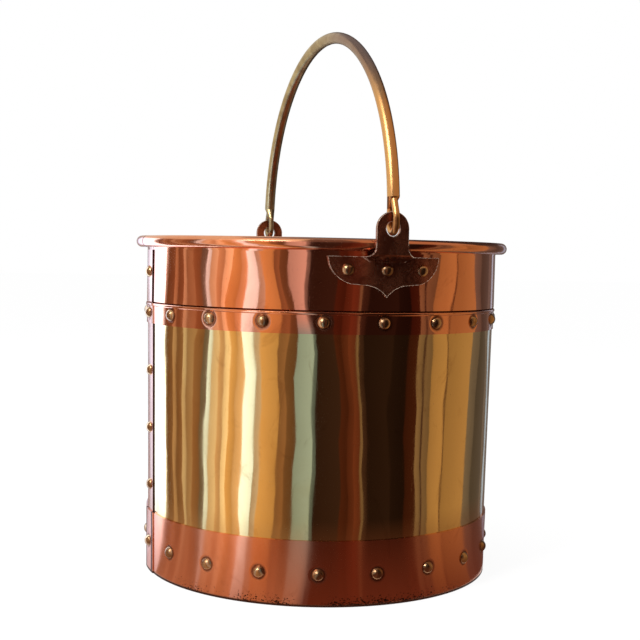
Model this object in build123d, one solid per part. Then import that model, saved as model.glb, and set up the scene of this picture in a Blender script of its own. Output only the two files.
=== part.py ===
from build123d import *
import math
import os

# Kindling bucket: a riveted brass pail with copper bands, a wired copper rim and a swinging brass bail.
# Sizes are in millimetres. The origin is at the centre of the foot and +Z is up. The bail's hinge
# runs along X, through an ear at -X and an ear at +X, and the seam strap runs up the +Y side.

# Sheet thicknesses
body_sheet = 0.8
collar_sheet = 0.8
hoop_sheet = 0.8
band_sheet = 1.2
strap_sheet = 0.8
base_sheet = 1.2
ear_plate = 2.5

# Room left between sheets that lie on one another
sheet_fit = 0.05

# Brass body, a slightly tapered tube
foot_radius = 143.3
shoulder_radius = 146.4
body_height = 221.0

# Copper collar, flush with the hoop, and its wired rim
collar_lap = 15.5
joggle_height = 1.1
joggle_shift = 0.4
collar_rise = 54.6
rim_tube_radius = 4.65
rim_flare = 0.75
rim_neck_height = 6.0
rim_roll_end = 220.0
rim_wire_clearance = 0.12

# Copper bands and strap
hoop_height = 16.5
bead_height = 2.4
bead_rise = 0.7
band_height = 50.0
strap_width = 20.0
joggle_run = 2.4
wedge_reach = 3.0

# Base plate, dropped in with its flange turned down
base_level = 36.0
base_flange_height = 26.0
base_bend_radius = 3.5

# Rivets
row_count = 20
rivet_head_radius = 4.8
rivet_head_height = 3.3
rivet_shank_radius = 2.4
rivet_hole_clearance = 0.1
rivet_tail_radius = 3.9
rivet_tail_height = 1.3
hoop_row_drop = 7.8
band_row_height = 24.4
seam_rivet_gaps = 4
collar_rivet_rise = 25.5
rivet_seat_reach = 9.0
hole_cutter_reach = 16.0

# Ears: a flange riveted to the collar, cranked out past the rim to a round-topped lug
lug_width = 25.4
lug_gap = 0.3
eye_hole_radius = 5.55
eye_rise = 7.4
flange_drop = 3.9
flange_half_width = 44.6
flange_depth = 30.0
flange_shoulder_depth = 6.5
flange_side_slope = 1.4
flange_lobe_inset = 6.0
flange_belly_depth = 21.5
flange_belly_slope = 1.0
flange_belly_inset = 18.0
flange_waist_half_width = 14.0
flange_waist_turn = 0.42
flange_waist_drop = 0.36
ear_sector = 50.0
crank_base_drop = 2.0
crank_rise = 4.8
crank_bend_radius = 1.0
lug_fillet = 7.0
lug_fillet_slack = 0.01
crank_wide_share = 0.8
ear_rivet_spread = 11.5
ear_rivet_drop = 9.7

# Bail: a brass rod drawn down at each end and closed round the ear as a long eye
bail_rod_radius = 4.7
bail_wire_radius = 2.5
bail_crown_rise = 164.1
bail_spring_rise = 12.8
bail_haunch_fullness = 1.0146
eye_bend_radius = 6.0
eye_straight_rise = 11.0
eye_neck_radius = 10.0
eye_lean = 24.0
eye_shoulder_rise = 26.0
eye_taper_length = 9.0
eye_tail_rise = 25.0
hinge_play = 0.3

# Worked-out places
bucket_height = body_height + collar_rise
taper = (shoulder_radius - foot_radius) / body_height
collar_radius = shoulder_radius + hoop_sheet + sheet_fit
rim_level = bucket_height - rim_tube_radius
rim_radius = collar_radius - collar_sheet + rim_tube_radius + rim_flare
neck_level = rim_level - rim_neck_height
hoop_bottom = body_height - hoop_height
hoop_row_level = body_height - hoop_row_drop
seam_rivet_pitch = (hoop_row_level - band_row_height) / seam_rivet_gaps
seam_rivet_levels = [band_row_height + seam_rivet_pitch * place for place in range(1, seam_rivet_gaps)]
seam_rivet_levels.append(body_height + collar_rivet_rise)
hoop_outside = sheet_fit + hoop_sheet
band_outside = sheet_fit + band_sheet
strap_outside = sheet_fit + strap_sheet
lap_outside = -body_sheet - sheet_fit
lap_inside = lap_outside - collar_sheet
base_outside = -body_sheet - sheet_fit
base_inside = base_outside - base_sheet
hole_radius = rivet_shank_radius + rivet_hole_clearance
row_pitch = 360.0 / row_count
seam_angle = 90.0
lug_inner = rim_radius + rim_tube_radius + lug_gap
lug_middle = lug_inner + ear_plate / 2
flange_top = rim_level - rim_tube_radius - flange_drop
eye_level = bucket_height + eye_rise
ear_rivet_level = flange_top - ear_rivet_drop
hinge_level = eye_level - eye_hole_radius + bail_wire_radius + hinge_play


def body_radius(level, offset=0.0):
    """Outside radius of the brass body at a height, moved out by an offset."""
    return foot_radius + taper * level + offset


def joggle_meeting():
    """Height at which the strap's inner face, carried on upward, meets the collar's joggle."""
    low = body_radius(body_height, lap_outside) + sheet_fit
    spread = (collar_radius + sheet_fit - low) / joggle_height
    return body_height + (body_radius(body_height, sheet_fit) - low) / (spread - taper)


def profile(*points):
    """A closed section of straight edges, given as radius and height."""
    return Plane.XZ * make_face(Polyline(*points, close=True))


def turned(section):
    """A full ring from a section."""
    return revolve(section, Axis.Z, 360)


def sector(section, middle, half_angle):
    """Part of a ring, centred on one direction."""
    return Rot(Z=middle - half_angle) * revolve(section, Axis.Z, 2 * half_angle)


def polar(centre, radius, angle):
    """A point of a circle in a section."""
    turn = math.radians(angle)
    return (centre[0] + radius * math.cos(turn), centre[1] + radius * math.sin(turn))


def radial_hole(angle, level):
    """A round cutter along a radius of the bucket, through every sheet."""
    inside = min(foot_radius, shoulder_radius) - hole_cutter_reach
    outside = max(foot_radius, shoulder_radius) + hole_cutter_reach
    bar = Cylinder(hole_radius, outside - inside, align=(Align.CENTER, Align.CENTER, Align.MIN))
    return Rot(Z=angle) * Pos(inside, 0, level) * Rot(Y=90) * bar


def row_holes(level):
    return [radial_hole(row_pitch * place, level) for place in range(row_count)]


def seam_holes():
    return [radial_hole(seam_angle, level) for level in seam_rivet_levels]


def ear_holes(side_angle):
    spread = (-ear_rivet_spread, 0, ear_rivet_spread)
    return [radial_hole(side_angle + turn, ear_rivet_level) for turn in spread]


def drilled(piece, *groups):
    cutters = [cutter for group in groups for cutter in group]
    return piece - cutters


def make_body():
    section = profile(
        (body_radius(0, -body_sheet), 0),
        (body_radius(0), 0),
        (body_radius(body_height), body_height),
        (body_radius(body_height, -body_sheet), body_height),
    )
    return drilled(turned(section), row_holes(hoop_row_level), row_holes(band_row_height), seam_holes())


def make_collar():
    """Lap inside the brass, step out flush with the hoop, straight collar, then a roll round the wire."""
    inside = collar_radius - collar_sheet
    lap_bottom = body_height - collar_lap
    joggle_top = body_height + joggle_height
    centre = (rim_radius, rim_level)
    reach = math.hypot(rim_radius - inside, rim_neck_height)
    toward = math.atan2(rim_neck_height, rim_radius - inside)
    lean = toward + math.asin(rim_tube_radius / reach)
    start = math.degrees(lean) + 90.0
    inner_roll = rim_tube_radius - collar_sheet
    sheet_start = polar(centre, inner_roll, start)
    neck_outside = sheet_start[1] - (sheet_start[0] - collar_radius) * math.tan(lean)
    middle = (start + rim_roll_end - 360.0) / 2
    end = rim_roll_end
    shift = joggle_shift * collar_sheet
    outer_run = Polyline(
        (body_radius(lap_bottom, lap_outside), lap_bottom),
        (body_radius(body_height, lap_outside), body_height),
        (collar_radius, joggle_top),
        (collar_radius, neck_outside),
        sheet_start,
    )
    under_roll = ThreePointArc(sheet_start, polar(centre, inner_roll, middle), polar(centre, inner_roll, end))
    roll_end = Line(polar(centre, inner_roll, end), polar(centre, rim_tube_radius, end))
    over_roll = ThreePointArc(
        polar(centre, rim_tube_radius, end),
        polar(centre, rim_tube_radius, middle),
        polar(centre, rim_tube_radius, start),
    )
    inner_run = Polyline(
        polar(centre, rim_tube_radius, start),
        (inside, neck_level),
        (inside, joggle_top + shift),
        (body_radius(body_height + shift, lap_inside), body_height + shift),
        (body_radius(lap_bottom, lap_inside), lap_bottom),
        (body_radius(lap_bottom, lap_outside), lap_bottom),
    )
    section = Plane.XZ * make_face([outer_run, under_roll, roll_end, over_roll, inner_run])
    top_seam_hole = [radial_hole(seam_angle, seam_rivet_levels[-1])]
    return drilled(turned(section), row_holes(hoop_row_level), top_seam_hole, ear_holes(0), ear_holes(180))


def make_rim_wire():
    radius = rim_tube_radius - collar_sheet - rim_wire_clearance
    return Pos(0, 0, rim_level) * Torus(rim_radius, radius)


def strap_section():
    top = neck_level - collar_sheet
    meeting = joggle_meeting()
    joggle_high = body_height + joggle_height
    return profile(
        (body_radius(0, sheet_fit), 0),
        (body_radius(0, strap_outside), 0),
        (body_radius(body_height, strap_outside), body_height),
        (collar_radius + strap_outside, joggle_high),
        (collar_radius + strap_outside, top),
        (collar_radius + sheet_fit, top),
        (collar_radius + sheet_fit, joggle_high),
        (body_radius(meeting, sheet_fit), meeting),
    )


def strap_half_angle():
    return math.degrees(strap_width / 2 / shoulder_radius)


def make_strap():
    holes = [radial_hole(seam_angle, hoop_row_level), radial_hole(seam_angle, band_row_height)]
    return drilled(sector(strap_section(), seam_angle, strap_half_angle()), holes, seam_holes())


def strap_room():
    """The strap's space with the room left round it, cut from what steps over it."""
    section = profile(
        (body_radius(0), 0),
        (body_radius(0, strap_outside + sheet_fit), 0),
        (body_radius(body_height, strap_outside + sheet_fit), body_height),
        (body_radius(body_height), body_height),
    )
    side_room = math.degrees(sheet_fit / shoulder_radius)
    return sector(section, seam_angle, strap_half_angle() + side_room)


def over_strap(section_at, sheet):
    """A closed band that steps out over the seam strap, with sloping sides to the step."""
    inner_half = strap_width / 2 + sheet + joggle_run
    outer_half = strap_width / 2 + sheet
    low = foot_radius
    high = shoulder_radius + strap_outside + sheet + wedge_reach
    wedge = make_face(
        Polyline((-inner_half, low), (inner_half, low), (outer_half, high), (-outer_half, high), close=True)
    )
    ring = turned(section_at(0.0))
    raised = sector(section_at(strap_outside), seam_angle, 2 * strap_half_angle())
    raised = raised & extrude(wedge, body_height + wedge_reach)
    return ring + raised - strap_room()


def hoop_section(step):
    bead_bottom = body_height - bead_height
    face = hoop_outside + step
    corner = body_radius(body_height, face)
    outline = Polyline(
        (corner, body_height),
        (body_radius(body_height, sheet_fit), body_height),
        (body_radius(hoop_bottom, sheet_fit), hoop_bottom),
        (body_radius(hoop_bottom, face), hoop_bottom),
        (body_radius(bead_bottom, face), bead_bottom),
    )
    bead = ThreePointArc(
        (body_radius(bead_bottom, face), bead_bottom),
        (body_radius(body_height - bead_height / 2, face + bead_rise), body_height - bead_height / 2),
        (corner, body_height),
    )
    return Plane.XZ * make_face([outline, bead])


def band_section(step):
    return profile(
        (body_radius(0, sheet_fit), 0),
        (body_radius(0, band_outside + step), 0),
        (body_radius(band_height, band_outside + step), band_height),
        (body_radius(band_height, sheet_fit), band_height),
    )


def make_hoop():
    return drilled(over_strap(hoop_section, hoop_sheet), row_holes(hoop_row_level))


def make_band():
    return drilled(over_strap(band_section, band_sheet), row_holes(band_row_height))


def make_base():
    """Flat plate with a bent edge and a flange turned down inside the body."""
    bend = base_bend_radius
    low = base_level - base_flange_height
    knee = base_level - bend
    edge = body_radius(knee, base_outside)
    corner = math.sqrt(0.5)
    inner_bend = bend - base_sheet
    hub = (edge - bend, knee)
    outside = Polyline((0, base_level), (edge - bend, base_level))
    outer_bend = ThreePointArc(
        (edge - bend, base_level),
        (hub[0] + bend * corner, hub[1] + bend * corner),
        (edge, knee),
    )
    flange = Polyline(
        (edge, knee),
        (body_radius(low, base_outside), low),
        (body_radius(low, base_inside), low),
        (edge - base_sheet, knee),
    )
    under_bend = ThreePointArc(
        (edge - base_sheet, knee),
        (hub[0] + inner_bend * corner, hub[1] + inner_bend * corner),
        (edge - bend, base_level - base_sheet),
    )
    underside = Polyline((edge - bend, base_level - base_sheet), (0, base_level - base_sheet), (0, base_level))
    section = Plane.XZ * make_face([outside, outer_bend, flange, under_bend, underside])
    return drilled(turned(section), row_holes(band_row_height))


def ear_section():
    """Side view of the ear: flange, crank and lug, one plate thick all the way."""
    foot = flange_top - flange_depth - 1.0
    crank_low = flange_top - crank_base_drop
    crank_high = crank_low + crank_rise
    angle = math.atan2(crank_rise, lug_inner - collar_radius)
    drop = ear_plate * (1 - math.sin(angle)) / math.cos(angle)
    top = eye_level + lug_width
    plate = make_face(
        Polyline(
            (collar_radius, foot),
            (collar_radius, crank_low),
            (lug_inner, crank_high),
            (lug_inner, top),
            (lug_inner + ear_plate, top),
            (lug_inner + ear_plate, crank_high - drop),
            (collar_radius + ear_plate, crank_low - drop),
            (collar_radius + ear_plate, foot),
            close=True,
        )
    )
    corners = plate.vertices()
    tight = [
        corners.sort_by_distance((collar_radius + ear_plate, crank_low - drop))[0],
        corners.sort_by_distance((lug_inner, crank_high))[0],
    ]
    wide = [
        corners.sort_by_distance((collar_radius, crank_low))[0],
        corners.sort_by_distance((lug_inner + ear_plate, crank_high - drop))[0],
    ]
    plate = fillet(tight, crank_bend_radius)
    corners = plate.vertices()
    wide = [corners.sort_by_distance(corner.center())[0] for corner in wide]
    plate = fillet(wide, crank_bend_radius + ear_plate * crank_wide_share)
    return Plane.XZ * plate


def lug_outline():
    """Front view of the lug: round top, straight sides and a root that widens into the flange."""
    half = lug_width / 2
    root = half + lug_fillet
    low = flange_top - crank_base_drop - ear_plate
    face = make_face(
        [
            ThreePointArc((-half, eye_level), (0, eye_level + half), (half, eye_level)),
            Polyline(
                (half, eye_level),
                (half, flange_top),
                (root, flange_top),
                (half, low),
                (-half, low),
                (-root, flange_top),
                (-half, flange_top),
                (-half, eye_level),
            ),
        ]
    )
    corners = face.vertices()
    roots = [corners.sort_by_distance((sign * half, flange_top))[0] for sign in (-1, 1)]
    return fillet(roots, lug_fillet - lug_fillet_slack)


def flange_outline():
    """Front view of the flange: straight top and a bracket-shaped lower edge with a pointed drop."""
    shoulder = flange_top - flange_shoulder_depth
    belly = flange_top - flange_belly_depth
    tip = flange_top - flange_depth
    side = flange_half_width - flange_side_slope
    belly_edge = flange_half_width - flange_belly_inset
    waist = flange_waist_half_width
    lobe = (flange_half_width - flange_lobe_inset, (shoulder + belly) / 2)
    waist_middle = (waist * flange_waist_turn, belly - flange_waist_drop * (belly - tip))
    right = [
        Line((0, flange_top), (flange_half_width, flange_top)),
        Line((flange_half_width, flange_top), (side, shoulder)),
        ThreePointArc((side, shoulder), lobe, (belly_edge, belly + flange_belly_slope)),
        Line((belly_edge, belly + flange_belly_slope), (waist, belly)),
        ThreePointArc((waist, belly), waist_middle, (0, tip)),
    ]
    left = [mirror(edge, Plane.YZ) for edge in right]
    return make_face(right + left)


def make_ear(side_angle):
    inside = collar_radius - lug_width
    depth = 3 * lug_width
    lug = sector(ear_section(), 0, ear_sector / 2) & (Pos(inside, 0, 0) * extrude(Plane.YZ * lug_outline(), depth))
    flange_ring = profile(
        (collar_radius, flange_top),
        (collar_radius + ear_plate, flange_top),
        (collar_radius + ear_plate, flange_top - flange_depth),
        (collar_radius, flange_top - flange_depth),
    )
    flange = sector(flange_ring, 0, ear_sector / 2) & (Pos(inside, 0, 0) * extrude(Plane.YZ * flange_outline(), depth))
    eye = Cylinder(eye_hole_radius, depth, align=(Align.CENTER, Align.CENTER, Align.MIN))
    ear = lug + flange - Pos(inside, 0, eye_level) * Rot(Y=90) * eye
    return drilled(Rot(Z=side_angle) * ear, ear_holes(side_angle))


def cap_radius(width, height):
    """Radius of the sphere that a shallow cap is cut from."""
    return (width * width + height * height) / (2 * height)


def rivet(level, outer, inner, slope=0.0):
    """Domed head outside, shank through the sheets and flattened tail inside, on the +X side."""
    head_ball = cap_radius(rivet_head_radius, rivet_head_height)
    tail_ball = cap_radius(rivet_tail_radius, rivet_tail_height)
    half = rivet_seat_reach
    outside = Cone(outer - slope * half, outer + slope * half, 2 * half) if slope else Cylinder(outer, 2 * half)
    inside = Cone(inner - slope * half, inner + slope * half, 2 * half) if slope else Cylinder(inner, 2 * half)
    head = Pos(outer + rivet_head_height - head_ball, 0, level) * Sphere(head_ball)
    head = head - Pos(0, 0, level) * outside
    tail = Pos(inner - rivet_tail_height + tail_ball, 0, level) * Sphere(tail_ball)
    tail = tail & (Pos(0, 0, level) * inside)
    start = inner - rivet_tail_height / 2
    length = outer + rivet_head_height / 2 - start
    shank = Cylinder(rivet_shank_radius, length, align=(Align.CENTER, Align.CENTER, Align.MIN))
    shank = Pos(start, 0, level) * Rot(Y=90) * shank
    return (head + shank + tail).solid()


def rivet_row(level, outer, inner):
    plain = rivet(level, outer, inner, taper)
    at_seam = rivet(level, outer + strap_outside, inner, taper)
    row = []
    for place in range(row_count):
        angle = row_pitch * place
        crosses_strap = abs(angle - seam_angle) < strap_half_angle()
        row.append(Rot(Z=angle) * (at_seam if crosses_strap else plain))
    return row


def make_hoop_rivets():
    inner = body_radius(hoop_row_level, lap_inside)
    return rivet_row(hoop_row_level, body_radius(hoop_row_level, hoop_outside), inner)


def make_band_rivets():
    inner = body_radius(band_row_height, base_inside)
    return rivet_row(band_row_height, body_radius(band_row_height, band_outside), inner)


def make_seam_rivets():
    rivets = []
    for level in seam_rivet_levels:
        if level < body_height:
            made = rivet(level, body_radius(level, strap_outside), body_radius(level, -body_sheet), taper)
        else:
            made = rivet(level, collar_radius + strap_outside, collar_radius - collar_sheet)
        rivets.append(Rot(Z=seam_angle) * made)
    return rivets


def make_ear_rivets(side_angle):
    made = rivet(ear_rivet_level, collar_radius + ear_plate, collar_radius - collar_sheet)
    return [Rot(Z=side_angle + turn) * made for turn in (-ear_rivet_spread, 0, ear_rivet_spread)]


def swept(path, radius):
    """A round bar along a path in the XZ plane."""
    return sweep(Plane(path @ 0, z_dir=path % 0) * Circle(radius), path=path)


def make_bail():
    """Three-centred arch, drawn down at each end to a wire that closes round the ear."""
    spring = hinge_level + bail_spring_rise
    rise = bail_crown_rise - bail_spring_rise
    haunch_radius = bail_haunch_fullness * rise**2 / lug_middle
    run = lug_middle - haunch_radius
    crown_radius = (run**2 + rise**2 - haunch_radius**2) / (2 * (rise - haunch_radius))
    crown = (0.0, hinge_level + bail_crown_rise)
    haunch_centre = (run, spring)
    crown_centre = (0.0, crown[1] - crown_radius)
    join_angle = math.degrees(math.atan2(abs(spring - crown_centre[1]), abs(run)))
    shoulder_level = hinge_level + eye_shoulder_rise
    shoulder_angle = math.degrees(math.asin((shoulder_level - spring) / haunch_radius))
    shoulder = polar(haunch_centre, haunch_radius, shoulder_angle)
    join = polar(haunch_centre, haunch_radius, join_angle)

    def upright(point):
        return (point[0], 0, point[1])

    haunch = ThreePointArc(
        upright(shoulder),
        upright(polar(haunch_centre, haunch_radius, (shoulder_angle + join_angle) / 2)),
        upright(join),
    )
    crown_half = ThreePointArc(
        upright(join),
        upright(polar(crown_centre, crown_radius, (join_angle + 90.0) / 2)),
        upright(crown),
    )
    inner_leg = lug_middle - eye_bend_radius
    bend_level = hinge_level + eye_bend_radius
    taper_end = (inner_leg, shoulder_level - eye_taper_length)
    outer_leg = lug_middle + eye_bend_radius
    neck_level_up = hinge_level + eye_straight_rise
    neck_centre = (outer_leg - eye_neck_radius, neck_level_up)
    neck_end = polar(neck_centre, eye_neck_radius, eye_lean)
    tail_run = hinge_level + eye_tail_rise - neck_end[1]
    tail = (neck_end[0] - tail_run * math.tan(math.radians(eye_lean)), neck_end[1] + tail_run)

    straight = Line(upright(taper_end), upright((inner_leg, bend_level)))
    bend = ThreePointArc(
        upright((inner_leg, bend_level)),
        upright((lug_middle, hinge_level)),
        upright((outer_leg, bend_level)),
    )
    outer_straight = Line(upright((outer_leg, bend_level)), upright((outer_leg, neck_level_up)))
    neck = ThreePointArc(
        upright((outer_leg, neck_level_up)),
        upright(polar(neck_centre, eye_neck_radius, eye_lean / 2)),
        upright(neck_end),
    )
    tail_leg = Line(upright(neck_end), upright(tail))
    rod_end = Plane(upright(shoulder), z_dir=haunch % 0) * Circle(bail_rod_radius)
    wire_end = Plane(upright(taper_end)) * Circle(bail_wire_radius)
    drawn = loft([wire_end, rod_end])
    half = swept(haunch, bail_rod_radius) + swept(crown_half, bail_rod_radius) + drawn
    for stretch in (straight, bend, outer_straight, neck, tail_leg):
        half = half + swept(stretch, bail_wire_radius)
    half = half + Pos(*upright(tail)) * Sphere(bail_wire_radius)
    return half + mirror(half, Plane.YZ)


pieces = {
    "body_sheet": make_body(),
    "collar_sheet": make_collar(),
    "rim_wire": make_rim_wire(),
    "upper_hoop": make_hoop(),
    "bottom_band": make_band(),
    "seam_strap": make_strap(),
    "base_plate": make_base(),
    "ear_left": make_ear(180),
    "ear_right": make_ear(0),
    "hoop_rivets": make_hoop_rivets(),
    "band_rivets": make_band_rivets(),
    "seam_rivets": make_seam_rivets(),
    "ear_left_rivets": make_ear_rivets(180),
    "ear_right_rivets": make_ear_rivets(0),
    "bail": make_bail(),
}

os.makedirs("parts", exist_ok=True)
for name, piece in pieces.items():
    shape = Compound(children=piece) if isinstance(piece, list) else piece
    export_step(shape, f"parts/{name}.step")
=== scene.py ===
import math
import bpy
from mathutils import Matrix, Vector

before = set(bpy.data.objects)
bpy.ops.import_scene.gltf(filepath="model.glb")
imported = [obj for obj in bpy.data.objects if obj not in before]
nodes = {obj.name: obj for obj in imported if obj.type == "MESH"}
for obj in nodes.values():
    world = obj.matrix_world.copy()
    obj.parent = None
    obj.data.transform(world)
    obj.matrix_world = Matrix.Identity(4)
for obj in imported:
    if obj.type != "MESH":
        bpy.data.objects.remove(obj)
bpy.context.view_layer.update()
scene = bpy.context.scene

# lengths are in metres, angles in degrees
camera_distance = 1.01938
camera_height = 0.26317
camera_tilt = 0.05503
camera_roll = 0.02217
camera_lens = 66.89
sensor_width = 36.0
front_turn = 250.9
wall_radius = 0.1455

# rivets of a row stand at whole steps of this angle
rivet_step = 18.0
hoop_row_level = 0.2132
band_row_level = 0.0244
strap_edge = 0.0103
groove_level = 0.2214
groove_reach = 0.0008
rim_bottom = 0.2655
rim_blend = 0.0012
rivet_dirt_start = 0.0053
rivet_dent_reach = 0.0078
rivet_dent_start = 0.0048
rivet_dent_depth = 0.0003
foot_speck_height = 0.013
# height of the painted shade line along the bottom of the foot
foot_shade_height = 0.0024
# heights where the painted reflection on the bail's near leg turns from orange to purple-brown
bail_reflection_levels = (0.37, 0.42)

floor_half = 12.0
floor_level = -0.0002
floor_tone = 0.93
floor_white_share = 0.90
overhead_power = 14.0
side_power = 20.0


# camera

def place_camera():
    """Stands at the photograph's place and looks as it did."""
    forward = Vector((0.0, math.cos(camera_tilt), -math.sin(camera_tilt)))
    level = Vector((1.0, 0.0, 0.0))
    upright = level.cross(forward)
    right = math.cos(camera_roll) * level + math.sin(camera_roll) * upright
    up = -math.sin(camera_roll) * level + math.cos(camera_roll) * upright
    axes = Matrix((right, up, -forward)).transposed()
    turn = Matrix.Rotation(math.radians(front_turn), 3, "Z")
    place = turn @ Vector((0.0, -camera_distance, camera_height))
    data = bpy.data.cameras.new("camera")
    data.lens = camera_lens
    data.sensor_width = sensor_width
    data.sensor_fit = "HORIZONTAL"
    camera = bpy.data.objects.new("camera", data)
    camera.matrix_world = Matrix.Translation(place) @ (turn @ axes).to_4x4()
    scene.collection.objects.link(camera)
    scene.camera = camera


place_camera()


# node helpers

class Shader:
    """One material and short ways to add to its node tree."""

    def __init__(self, name):
        self.material = bpy.data.materials.new(name)
        self.material.use_nodes = True
        self.tree = self.material.node_tree
        self.tree.nodes.clear()
        self.coords = self.node("ShaderNodeTexCoord").outputs["Object"]

    def node(self, kind, **settings):
        made = self.tree.nodes.new(kind)
        for key, value in settings.items():
            setattr(made, key, value)
        return made

    def plug(self, socket, value):
        if isinstance(value, bpy.types.NodeSocket):
            self.tree.links.new(value, socket)
        else:
            socket.default_value = value

    def math(self, operation, a, b=0.0, c=0.0, clamp=False):
        made = self.node("ShaderNodeMath", operation=operation, use_clamp=clamp)
        for socket, value in zip(made.inputs, (a, b, c)):
            self.plug(socket, value)
        return made.outputs[0]

    def stretched(self, scale):
        made = self.node("ShaderNodeMapping")
        self.plug(made.inputs["Vector"], self.coords)
        made.inputs["Scale"].default_value = scale
        return made.outputs[0]

    def noise(self, scale, stretch=(1.0, 1.0, 1.0), detail=3.0, rough=0.5, twist=0.0):
        made = self.node("ShaderNodeTexNoise")
        self.plug(made.inputs["Vector"], self.stretched(stretch))
        made.inputs["Scale"].default_value = scale
        made.inputs["Detail"].default_value = detail
        made.inputs["Roughness"].default_value = rough
        made.inputs["Distortion"].default_value = twist
        return made.outputs["Fac"]

    def ramp(self, value, low, high, smooth=True):
        """0 below low, 1 above high; low may be the larger."""
        kind = "SMOOTHSTEP" if smooth else "LINEAR"
        made = self.node("ShaderNodeMapRange", interpolation_type=kind)
        self.plug(made.inputs["Value"], value)
        if low < high:
            ends = (low, high, 0.0, 1.0)
        else:
            ends = (high, low, 1.0, 0.0)
        for key, end in zip(("From Min", "From Max", "To Min", "To Max"), ends):
            made.inputs[key].default_value = end
        return made.outputs["Result"]

    def mix(self, share, a, b):
        made = self.node("ShaderNodeMix", data_type="RGBA")
        self.plug(made.inputs["Factor"], share)
        self.plug(made.inputs["A"], a)
        self.plug(made.inputs["B"], b)
        return made.outputs["Result"]

    def axes(self):
        made = self.node("ShaderNodeSeparateXYZ")
        self.plug(made.inputs[0], self.coords)
        return made.outputs

    def rivet_distance(self, level, step):
        """Distance in the wall from the nearest rivet of a row."""
        x, y, z = self.axes()
        angle = self.math("ARCTAN2", y, x)
        turns = self.math("DIVIDE", angle, math.radians(step))
        near = self.math("SUBTRACT", turns, self.math("ROUND", turns))
        across = self.math("MULTIPLY", near, math.radians(step) * wall_radius)
        down = self.math("SUBTRACT", z, level)
        across = self.math("MULTIPLY", across, across)
        down = self.math("MULTIPLY", down, down)
        return self.math("SQRT", self.math("ADD", across, down))

    def joint_shade_lines(self, reach):
        """1 along the strap's edges and in the groove under the collar: lines of painted shade."""
        x, y, z = self.axes()
        beside = self.math("ABSOLUTE", self.math("SUBTRACT", self.math("ABSOLUTE", x), strap_edge))
        strap_line = self.math("MULTIPLY", self.ramp(beside, reach, reach * 0.5), self.ramp(y, 0.10, 0.12))
        groove = self.math("ABSOLUTE", self.math("SUBTRACT", z, groove_level))
        groove_line = self.math("MULTIPLY", self.ramp(groove, groove_reach, groove_reach * 0.375), 0.6)
        return self.math("MAXIMUM", strap_line, groove_line)

    def inside(self):
        """1 where the surface faces the bucket's middle."""
        geometry = self.node("ShaderNodeNewGeometry")
        flat = self.node("ShaderNodeVectorMath", operation="MULTIPLY")
        self.plug(flat.inputs[0], self.coords)
        flat.inputs[1].default_value = (1.0, 1.0, 0.0)
        dot = self.node("ShaderNodeVectorMath", operation="DOT_PRODUCT")
        self.plug(dot.inputs[0], flat.outputs[0])
        self.plug(dot.inputs[1], geometry.outputs["Normal"])
        return self.ramp(dot.outputs["Value"], -0.002, -0.02)

    def edge(self, radius, low, high):
        """1 along sharp edges."""
        bevel = self.node("ShaderNodeBevel", samples=6)
        bevel.inputs["Radius"].default_value = radius
        geometry = self.node("ShaderNodeNewGeometry")
        dot = self.node("ShaderNodeVectorMath", operation="DOT_PRODUCT")
        self.plug(dot.inputs[0], bevel.outputs[0])
        self.plug(dot.inputs[1], geometry.outputs["Normal"])
        return self.ramp(dot.outputs["Value"], high, low)

    def bump(self, height, distance, strength=1.0, base=None):
        made = self.node("ShaderNodeBump")
        self.plug(made.inputs["Height"], height)
        made.inputs["Distance"].default_value = distance
        made.inputs["Strength"].default_value = strength
        if base is not None:
            self.plug(made.inputs["Normal"], base)
        return made.outputs[0]

    def finish(self, colour, roughness, normal, metal=1.0, stretch=0.0):
        shader = self.node("ShaderNodeBsdfPrincipled")
        self.plug(shader.inputs["Base Color"], colour)
        self.plug(shader.inputs["Roughness"], roughness)
        self.plug(shader.inputs["Metallic"], metal)
        if stretch:
            shader.inputs["Anisotropic"].default_value = stretch
            tangent = self.node("ShaderNodeTangent", direction_type="RADIAL", axis="Z")
            self.plug(shader.inputs["Tangent"], tangent.outputs[0])
        self.plug(shader.inputs["Normal"], normal)
        out = self.node("ShaderNodeOutputMaterial")
        self.tree.links.new(shader.outputs[0], out.inputs["Surface"])
        return self.material


def colour(red, green, blue):
    """A screen colour from 0 to 255 as the linear values that shaders use."""
    def linear(value):
        share = value / 255.0
        return share / 12.92 if share <= 0.04045 else ((share + 0.055) / 1.055) ** 2.4
    return (linear(red), linear(green), linear(blue), 1.0)


# materials

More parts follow.
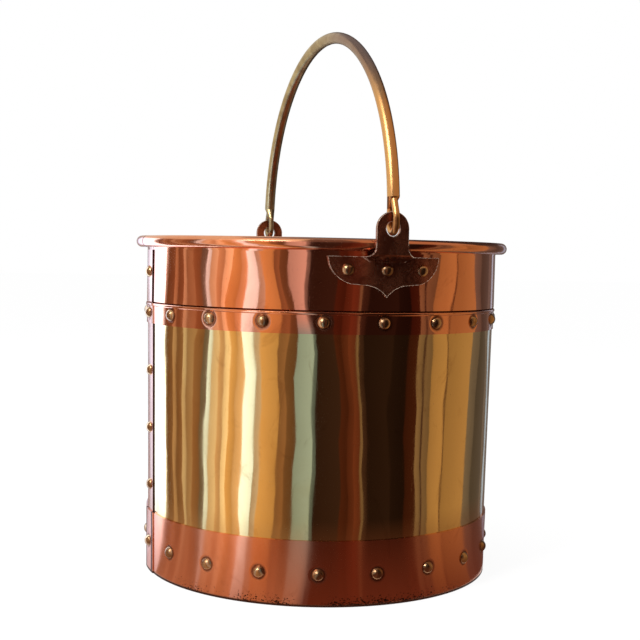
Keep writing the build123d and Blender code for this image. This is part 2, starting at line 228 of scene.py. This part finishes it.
def sheet_metal(name, bright, deep, tarnish, grime_and_shade, rows, roughness, waves, age, foot_wear=0.0,
                seam_reach=0.0013):
    """Polished sheet: uneven sheet, polishing lines, scratches, tarnish clouds, dirt, and painted shade in the
    joints and along the bottom edge.
    """
    made = Shader(name)
    clouds = made.noise(9.0, (1.0, 1.0, 0.5), detail=5.0, rough=0.62, twist=0.6)
    clouded = made.ramp(clouds, 0.42, 0.68)
    base = made.mix(made.math("MULTIPLY", clouded, 0.55), bright, deep)
    fingers = made.noise(38.0, (1.0, 1.0, 0.7), detail=6.0, rough=0.7, twist=1.2)
    stains = made.math("MULTIPLY", made.ramp(fingers, 0.56, 0.78), age)
    base = made.mix(stains, base, tarnish)
    inner = made.inside()
    base = made.mix(made.math("MULTIPLY", inner, 0.45), base, tarnish)
    dirt_and_shade = made.math("MULTIPLY", stains, 0.3)
    flecks = made.noise(420.0, detail=2.0, rough=0.6)
    dimple = 0.0
    for level, step, reach in rows:
        near = made.rivet_distance(level, step)
        uneven = made.math("MULTIPLY", flecks, 0.0016)
        ring = made.ramp(made.math("ADD", near, uneven), reach, rivet_dirt_start)
        dirt_and_shade = made.math("MAXIMUM", dirt_and_shade, made.math("MULTIPLY", ring, 0.85))
        dimple = made.math("MAXIMUM", dimple, made.ramp(near, rivet_dent_reach, rivet_dent_start))
    if foot_wear:
        height = made.axes()[2]
        patches = made.ramp(made.noise(16.0, detail=2.0), 0.38, 0.62)
        low = made.math("MULTIPLY", made.ramp(height, foot_speck_height, 0.0, smooth=False), patches)
        spots = made.noise(620.0, (1.0, 1.0, 1.3), detail=3.0, rough=0.7)
        worn = made.ramp(made.math("ADD", spots, made.math("MULTIPLY", low, 0.31)), 0.73, 0.76)
        dirt_and_shade = made.math("MAXIMUM", dirt_and_shade, made.math("MULTIPLY", worn, foot_wear))
        # painted shade: a dark line along the very bottom of the foot
        foot_shade_line = made.math("MULTIPLY", made.ramp(height, foot_shade_height, foot_shade_height * 0.5), 0.96)
        dirt_and_shade = made.math("MAXIMUM", dirt_and_shade, foot_shade_line)
    # painted shade along the strap's edges and in the groove under the collar, kept off the inside
    outer = made.math("SUBTRACT", 0.93, made.math("MULTIPLY", inner, 0.93))
    dirt_and_shade = made.math("MAXIMUM", dirt_and_shade, made.math("MULTIPLY", made.joint_shade_lines(seam_reach), outer))
    pits = made.ramp(made.noise(1300.0, detail=1.0, rough=0.5), 0.735, 0.78)
    dirt_and_shade = made.math("MAXIMUM", dirt_and_shade, made.math("MULTIPLY", pits, 0.7))
    # darkens towards one dark colour: real stains, dirt round the rivets and pits, and the painted shade lines
    base = made.mix(dirt_and_shade, base, grime_and_shade)
    haze = made.noise(60.0, (1.0, 1.0, 0.35), detail=4.0, rough=0.65)
    dull = made.math("ADD", roughness, made.math("MULTIPLY", made.ramp(haze, 0.35, 0.75), 0.06))
    dull = made.math("ADD", dull, made.math("MULTIPLY", dirt_and_shade, 0.35))
    rim = made.ramp(made.axes()[2], rim_bottom, rim_bottom + rim_blend)
    dull = made.math("ADD", dull, made.math("MULTIPLY", rim, 0.08))
    dull = made.math("ADD", dull, made.math("MULTIPLY", inner, 0.12), clamp=True)
    sheet = made.noise(13.0, (1.0, 1.0, 0.30), detail=2.0, rough=0.45, twist=0.3)
    normal = made.bump(sheet, waves)
    ripple = made.noise(46.0, (1.0, 1.0, 0.34), detail=1.0, rough=0.4, twist=0.4)
    normal = made.bump(ripple, waves * 0.16, base=normal)
    if rows:
        normal = made.bump(dimple, -rivet_dent_depth, base=normal)
    lines = made.noise(30.0, (0.6, 0.6, 60.0), detail=3.0, rough=0.6)
    normal = made.bump(lines, 0.00002, 0.6, normal)
    scratch = made.noise(160.0, (1.0, 3.0, 0.25), detail=4.0, rough=0.7, twist=1.5)
    normal = made.bump(made.ramp(scratch, 0.60, 0.72), 0.00001, 0.5, normal)
    return made.finish(base, dull, normal, stretch=0.35)


def worn_metal(name, bright, deep, pale_wear_and_highlight, roughness, edge_radius, grain, mottling, edge_haze=0.0,
               clarity=1.0, near_leg_reflection=None):
    """Handled cast or wrought metal: brown patina, pale where it is rubbed and along the edges as a painted
    highlight, fine pitting.
    """
    made = Shader(name)
    clouds = made.noise(70.0, detail=6.0, rough=0.65, twist=0.5)
    base = made.mix(made.ramp(clouds, 0.36, 0.64), bright, deep)
    # painted reflection: the bail's near leg is tinted orange low down and purple-brown higher up
    if near_leg_reflection:
        side, _, height = made.axes()
        tone = made.mix(made.ramp(height, *bail_reflection_levels), *near_leg_reflection)
        base = made.mix(made.math("MULTIPLY", made.ramp(side, 0.01, -0.05), 0.85), base, tone)
    mottle = made.noise(330.0, detail=4.0, rough=0.7)
    base = made.mix(made.math("MULTIPLY", made.ramp(mottle, 0.58, 0.72), mottling), base, pale_wear_and_highlight)
    # the edges are painted pale: partly rubbed wear, partly a painted highlight
    rubbed_and_highlit = made.edge(edge_radius, 0.80, 0.995)
    rubbed_and_highlit = made.math("MULTIPLY", rubbed_and_highlit, made.ramp(mottle, 0.30, 0.55))
    base = made.mix(rubbed_and_highlit, base, pale_wear_and_highlight)
    dull = made.math("ADD", roughness, made.math("MULTIPLY", made.ramp(clouds, 0.3, 0.7), 0.10))
    dull = made.math("SUBTRACT", dull, made.math("MULTIPLY", rubbed_and_highlit, 0.06), clamp=True)
    soft = made.node("ShaderNodeBevel", samples=6)
    soft.inputs["Radius"].default_value = edge_radius * 0.5
    normal = made.bump(made.noise(150.0, detail=3.0), grain, 0.6, soft.outputs[0])
    normal = made.bump(mottle, grain * 0.4, 0.6, normal)
    metal = 1.0
    # less metal where the edges are pale, so that the painted highlight shows bright under the diffuse light
    if edge_haze:
        metal = made.math("SUBTRACT", clarity, made.math("MULTIPLY", rubbed_and_highlit, edge_haze))
    return made.finish(base, dull, normal, metal)


brass = sheet_metal(
    "polished_brass_sheet", colour(236, 202, 142), colour(226, 182, 116), colour(190, 140, 84),
    colour(70, 42, 22), [], 0.055, 0.0016, 0.30)
copper_rows = [(hoop_row_level, rivet_step, 0.0080), (band_row_level, rivet_step, 0.0080)]
copper = sheet_metal(
    "polished_copper_sheet", colour(240, 164, 126), colour(222, 128, 86), colour(172, 90, 60),
    colour(50, 22, 14), copper_rows, 0.07, 0.0012, 0.30, foot_wear=0.95)
band_copper = sheet_metal(
    "satin_copper_band", colour(240, 160, 122), colour(224, 130, 88), colour(176, 92, 60),
    colour(44, 20, 14), copper_rows, 0.16, 0.0010, 0.30, foot_wear=0.97, seam_reach=0.0028)
collar_copper = sheet_metal(
    "polished_copper_collar", colour(242, 166, 128), colour(222, 128, 88), colour(170, 90, 62),
    colour(56, 24, 16), [], 0.05, 0.0019, 0.30)
strap_copper = sheet_metal(
    "polished_copper_strap", colour(232, 166, 130), colour(204, 124, 90), colour(150, 90, 64),
    colour(58, 28, 18), [], 0.14, 0.0006, 0.5)
base_copper = sheet_metal(
    "dull_copper_base", colour(206, 128, 92), colour(176, 98, 64), colour(120, 70, 50),
    colour(58, 30, 20), [], 0.30, 0.0008, 0.9)
ear_brass = worn_metal(
    "aged_brass_ears", colour(176, 104, 74), colour(120, 64, 44), colour(240, 214, 192),
    0.22, 0.0010, 0.00005, 0.15, edge_haze=0.6, clarity=0.96)
bail_brass = worn_metal(
    "handled_brass_bail", colour(196, 172, 130), colour(166, 140, 102), colour(214, 188, 148),
    0.27, 0.0003, 0.000004, 0.06, near_leg_reflection=(colour(230, 168, 104), colour(150, 116, 104)))
rivet_brass = worn_metal(
    "rubbed_brass_rivets", colour(204, 166, 124), colour(158, 118, 84), colour(244, 220, 188),
    0.21, 0.0004, 0.00003, 0.15)
wire_steel = worn_metal(
    "plain_steel_wire", colour(150, 148, 146), colour(110, 106, 102), colour(180, 178, 174),
    0.35, 0.0004, 0.00003, 0.5)

materials = {
    "body_sheet": brass,
    "collar_sheet": collar_copper,
    "upper_hoop": copper,
    "bottom_band": band_copper,
    "seam_strap": strap_copper,
    "base_plate": base_copper,
    "ear_left": ear_brass,
    "ear_right": ear_brass,
    "rim_wire": wire_steel,
    "bail": bail_brass,
}
for name, item in nodes.items():
    chosen = materials.get(name, rivet_brass)
    item.data.materials.clear()
    item.data.materials.append(chosen)


# floor, cards and light

def mesh_object(name, points, faces, material):
    mesh = bpy.data.meshes.new(name)
    mesh.from_pydata(points, [], faces)
    mesh.materials.append(material)
    made = bpy.data.objects.new(name, mesh)
    scene.collection.objects.link(made)
    return made


def make_floor():
    """A wide pale floor, a hair under the foot."""
    signs = ((-1, -1), (1, -1), (1, 1), (-1, 1))
    corners = [(floor_half * x, floor_half * y, floor_level) for x, y in signs]
    pale = bpy.data.materials.new("pale_floor")
    pale.use_nodes = True
    tree = pale.node_tree
    shader = tree.nodes["Principled BSDF"]
    shader.inputs["Base Color"].default_value = (floor_tone, floor_tone, floor_tone, 1.0)
    shader.inputs["Roughness"].default_value = 0.9
    shader.inputs["Specular IOR Level"].default_value = 0.0
    glow = tree.nodes.new("ShaderNodeEmission")
    glow.inputs["Strength"].default_value = 1.0
    path = tree.nodes.new("ShaderNodeLightPath")
    seen = tree.nodes.new("ShaderNodeMath")
    seen.operation = "MAXIMUM"
    tree.links.new(path.outputs["Is Camera Ray"], seen.inputs[0])
    tree.links.new(path.outputs["Is Glossy Ray"], seen.inputs[1])
    share = tree.nodes.new("ShaderNodeMath")
    share.operation = "MULTIPLY"
    share.inputs[1].default_value = floor_white_share
    tree.links.new(seen.outputs[0], share.inputs[0])
    mix = tree.nodes.new("ShaderNodeMixShader")
    tree.links.new(share.outputs[0], mix.inputs[0])
    tree.links.new(shader.outputs[0], mix.inputs[1])
    tree.links.new(glow.outputs[0], mix.inputs[2])
    tree.links.new(mix.outputs[0], tree.nodes["Material Output"].inputs["Surface"])
    mesh_object("floor", corners, [(0, 1, 2, 3)], pale)


card_radius = 0.20
apron_radius = 0.1468
apron_level = 0.0004
# the cards draw together towards the foot so that they stay upright in the band
apron_pull = 0.18
card_levels = (
    0.034, 0.050, 0.070, 0.09, 0.115, 0.14, 0.165, 0.185, 0.20, 0.212, 0.224, 0.238, 0.252, 0.27, 0.295,
    0.315, 0.62)
card_step = 4.0
roof_sides = 48

daylight = (0.84, 1.10, 1.50)
sky = (0.46, 0.68, 0.88)
peach = (1.0, 0.84, 0.66)
tan = (1.0, 0.68, 0.44)
warm = (1.0, 0.54, 0.29)
amber = (1.0, 0.62, 0.28)
red = (1.0, 0.28, 0.15)
dusk = (1.0, 0.50, 0.38)
grey = (1.0, 0.86, 0.80)

# cards round the bucket: where each ends in degrees from the camera's side, its colour, how bright
card_start = -180.0
cards = [
    (-150, grey, 0.50), (-122, daylight, 0.70), (-106, grey, 0.45), (-98, daylight, 1.2), (-92, daylight, 2.2),
    (-79, daylight, 2.8), (-77, grey, 0.5), (-71, warm, 0.22), (-68, tan, 0.52), (-63, warm, 0.26),
    (-60.5, peach, 0.68), (-56, tan, 0.42), (-51.5, warm, 0.30), (-49, grey, 0.20), (-47, daylight, 1.2),
    (-43, peach, 0.85), (-40, tan, 0.70), (-37.5, peach, 1.15), (-34, amber, 0.80), (-31, tan, 0.90),
    (-26.5, daylight, 1.6), (-24, grey, 0.62), (-17, amber, 0.74), (-14, warm, 0.30), (-10.5, warm, 0.17),
    (-3.5, sky, 0.78), (-2, sky, 0.26), (8, dusk, 0.038), (11, red, 0.07), (13.5, red, 0.11), (16, red, 0.15),
    (17, tan, 0.22), (19, dusk, 0.05), (30, dusk, 0.024), (37, dusk, 0.016), (42, red, 0.05), (45, tan, 0.24),
    (46, dusk, 0.07), (50, tan, 0.20), (58, amber, 0.46), (59, warm, 0.16), (76, amber, 0.43),
    (84, grey, 0.17), (98, grey, 0.10), (104, grey, 0.17), (109, daylight, 0.55), (140, grey, 0.16),
    (180, grey, 0.30),
]
card_shade = 0.16
roof_tone = (0.24, 0.26, 0.29)
# low down the cards take on the colour of what the bucket stood on
low_level = 0.050
low_share = 0.85
low_left = (0.46, 0.29, 0.20)
low_right = (0.15, 0.055, 0.034)
low_turn = -5.0
# beside the collar the sky coloured card turns pink
collar_level = 0.205
collar_pink = (0.88, 0.72, 0.78)
# above this height they are plain: where each tone ends, and the tone
high_level = 0.31
high_tones = [
    (-172, (0.10, 0.09, 0.08)), (-6, (0.84, 0.82, 0.70)), (16, (0.13, 0.09, 0.08)),
    (70, (0.50, 0.34, 0.22)), (181, (0.05, 0.04, 0.04)),
]


def card_bend(turn, level):
    """How far a card's edge strays sideways at a height, in degrees."""
    slow = 1.5 * math.sin(level * 17.0 + turn * 0.055)
    pinch = 1.9 * math.sin(level * 47.0 + turn * 0.14) * math.exp(-((level - 0.225) / 0.045) ** 2)
    quick = 0.5 * math.sin(level * 83.0 + turn * 0.21)
    return slow + pinch + quick


def card_glow(tint, strength, level, turn):
    """Colour that a card gives off at a height."""
    glow = [share * strength for share in tint]
    if level < low_level:
        ground = low_left if turn < low_turn else low_right
        share = low_share * (1.0 - level / low_level)
        glow = [share * under + (1.0 - share) * own for under, own in zip(ground, glow)]
    if level > collar_level and tint is sky:
        glow = [share * strength for share in collar_pink]
    if level > high_level:
        glow = [tone for end, tone in high_tones if turn < end][0]
    return list(glow) + [1.0]


def make_cards():
    """Tall bent cards that stand round the bucket, and a roof. Only polished metal sees them."""
    shade = bpy.data.materials.new("card_tones")
    shade.use_nodes = True
    tree = shade.node_tree
    tree.nodes.clear()
    tone = tree.nodes.new("ShaderNodeVertexColor")
    tone.layer_name = "tone"
    glow = tree.nodes.new("ShaderNodeEmission")
    tree.links.new(tone.outputs["Color"], glow.inputs["Color"])
    out = tree.nodes.new("ShaderNodeOutputMaterial")
    tree.links.new(glow.outputs[0], out.inputs["Surface"])
    places = [(apron_radius, apron_level)] + [(card_radius, level) for level in card_levels]
    points = []
    faces = []
    tones = []

    def corner(turn, radius, level):
        share = (card_radius - radius) / (card_radius - apron_radius)
        pull = apron_pull * share * turn * (1.0 - (turn / 180.0) ** 2)
        angle = math.radians(turn - pull + card_bend(turn, level) - 90.0 + front_turn)
        points.append((radius * math.cos(angle), radius * math.sin(angle), level))

    start = card_start
    for index, (end, tint, strength) in enumerate(cards):
        steps = max(1, round((end - start) / card_step))
        lean = card_shade if index % 2 else -card_shade
        for step in range(steps):
            sides = [start + (end - start) * (step + side) / steps for side in (0, 1)]
            glows = [strength * (1.0 + lean * (2.0 * (step + side) / steps - 1.0)) for side in (0, 1)]
            first = len(points)
            for radius, level in places:
                for turn in sides:
                    corner(turn, radius, level)
            for row in range(len(places) - 1):
                low = first + 2 * row
                faces.append((low, low + 1, low + 3, low + 2))
                for side, level in ((0, row), (1, row), (1, row + 1), (0, row + 1)):
                    tones.append(card_glow(tint, glows[side], places[level][1], sides[side]))
        start = end
    first = len(points)
    for side in range(roof_sides):
        angle = math.tau * side / roof_sides
        points.append((card_radius * math.cos(angle), card_radius * math.sin(angle), card_levels[-1]))
    faces.append(tuple(range(first, first + roof_sides)))
    tones += [list(roof_tone) + [1.0]] * roof_sides
    ring = mesh_object("cards", points, faces, shade)
    values = ring.data.color_attributes.new("tone", "FLOAT_COLOR", "CORNER")
    values.data.foreach_set("color", [share for tone_value in tones for share in tone_value])
    ring.visible_camera = False
    ring.visible_diffuse = False
    ring.visible_transmission = False
    ring.visible_shadow = False
    ring.visible_volume_scatter = False


def area_light(name, place, aim, size, power):
    data = bpy.data.lights.new(name, "AREA")
    data.shape = "RECTANGLE"
    data.size = size[0]
    data.size_y = size[1]
    data.energy = power
    light = bpy.data.objects.new(name, data)
    light.location = place
    light.rotation_euler = (Vector(aim) - Vector(place)).to_track_quat("-Z", "Y").to_euler()
    scene.collection.objects.link(light)


def make_world():
    """Even white light from all sides, which is the backdrop too."""
    world = bpy.data.worlds.new("studio")
    world.use_nodes = True
    tree = world.node_tree
    tree.nodes.clear()
    white = tree.nodes.new("ShaderNodeBackground")
    white.inputs["Color"].default_value = (1.0, 1.0, 1.0, 1.0)
    white.inputs["Strength"].default_value = 1.0
    out = tree.nodes.new("ShaderNodeOutputWorld")
    tree.links.new(white.outputs[0], out.inputs["Surface"])
    scene.world = world


make_floor()
make_cards()
make_world()
area_light("soft_overhead", (0.2, 0.3, 1.9), (0.0, 0.0, 0.2), (1.6, 1.6), overhead_power)
area_light("soft_side", (-0.75, 1.05, 1.15), (0.0, 0.0, 0.2), (0.35, 0.35), side_power)
scene.view_settings.view_transform = "Standard"
